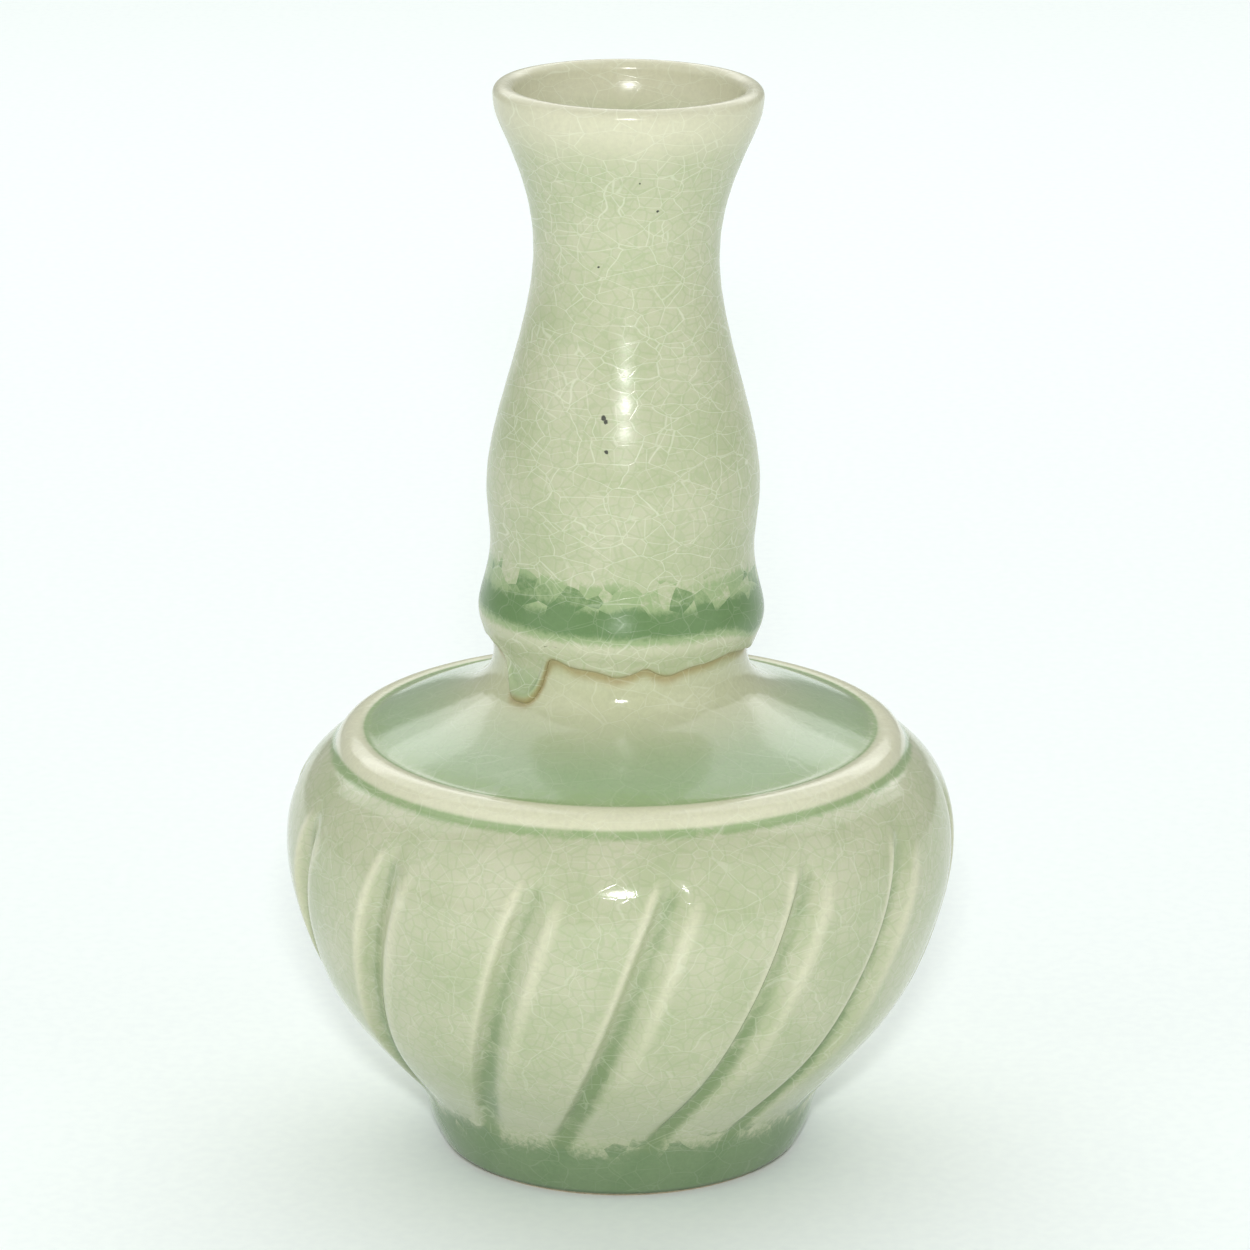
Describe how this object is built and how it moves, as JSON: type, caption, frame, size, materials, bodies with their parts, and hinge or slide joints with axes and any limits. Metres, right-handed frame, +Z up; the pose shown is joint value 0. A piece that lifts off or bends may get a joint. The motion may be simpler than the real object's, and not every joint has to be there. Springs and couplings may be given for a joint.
{
  "type": "bud vase",
  "caption": "Small wheel-thrown bud vase with slanting carved flutes on a round bulb, a shoulder ridge, a collared neck and a flared lip, in crackled green glaze.",
  "frame": {"origin": "centre of the foot ring, on the plane that the vase stands on", "axes": "+Z up along the axis of the bulb; +X is the side that the neck leans towards by 0.8 degrees; -Y is the side with the run edge's long drip to its left"},
  "size_m": [0.0864, 0.0864, 0.14],
  "materials": {
    "stoneware": "fired stoneware, bare and slightly rough where the foot was wiped",
    "slip": "fired slip",
    "celadon": "glossy green celadon with fine crackle, pooled darker in hollows and pale on ridges",
    "celadon_second_coat": "glossy green celadon with wide crackle, dark where it pools above the collar",
    "lining": "glossy pale green celadon with crackle"
  },
  "bodies": {
    "root": {"body_section": "stoneware", "neck_section": "stoneware", "luting_slip": "slip", "body_glaze": "celadon", "neck_glaze": "celadon_second_coat", "inner_glaze": "lining", "foot_well_glaze": "lining"}
  },
  "joints": []
}
